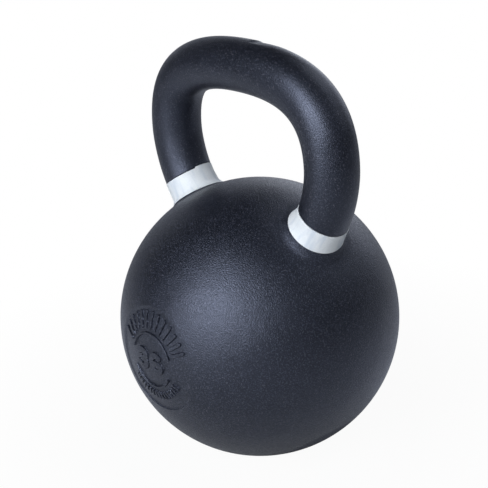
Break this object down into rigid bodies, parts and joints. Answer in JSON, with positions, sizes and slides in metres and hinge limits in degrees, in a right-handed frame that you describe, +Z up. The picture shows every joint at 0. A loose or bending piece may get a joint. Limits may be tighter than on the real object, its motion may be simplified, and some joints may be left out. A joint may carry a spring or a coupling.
{
  "type": "kettlebell",
  "caption": "Cast-iron kettlebell: a round ball with a flat foot under a thick looped handle, with silver marking bands where the loop's horns meet the ball.",
  "frame": {"origin": "middle of the flat foot, where the kettlebell stands on the floor", "axes": "+Z up; the handle loop stands in the XZ plane; -Y is the front, which carries the weight number"},
  "size_m": [0.208, 0.208, 0.2979],
  "materials": {
    "coated_iron": "matte",
    "silver_paint": "satin"
  },
  "bodies": {
    "root": {"bell_casting": "coated_iron", "weight_band_left": "silver_paint", "weight_band_right": "silver_paint"}
  },
  "joints": []
}
